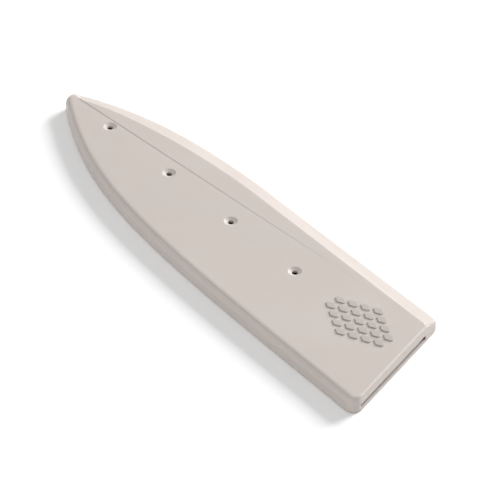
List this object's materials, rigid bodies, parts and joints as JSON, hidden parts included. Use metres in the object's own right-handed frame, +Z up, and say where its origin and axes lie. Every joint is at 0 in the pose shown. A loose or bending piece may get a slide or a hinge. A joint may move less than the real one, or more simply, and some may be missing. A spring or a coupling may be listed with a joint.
{
  "type": "knife blade guard",
  "caption": "Rigid slip-on sheath that covers a chef's knife blade, with a sloping spine band, dished vent holes and a diamond pattern of raised grip pads.",
  "frame": {"origin": "middle of the footprint, on the surface that the guard lies on", "axes": "+X from the tip to the mouth, +Y to the spine side, +Z up out of the face"},
  "size_m": [0.2206, 0.0576, 0.0078],
  "materials": {
    "shell_plastic": "satin",
    "plate_plastic": "satin",
    "grip_soft": "matte"
  },
  "bodies": {
    "root": {"front_shell": "shell_plastic", "back_plate": "plate_plastic", "grip_pads": "grip_soft"}
  },
  "joints": []
}
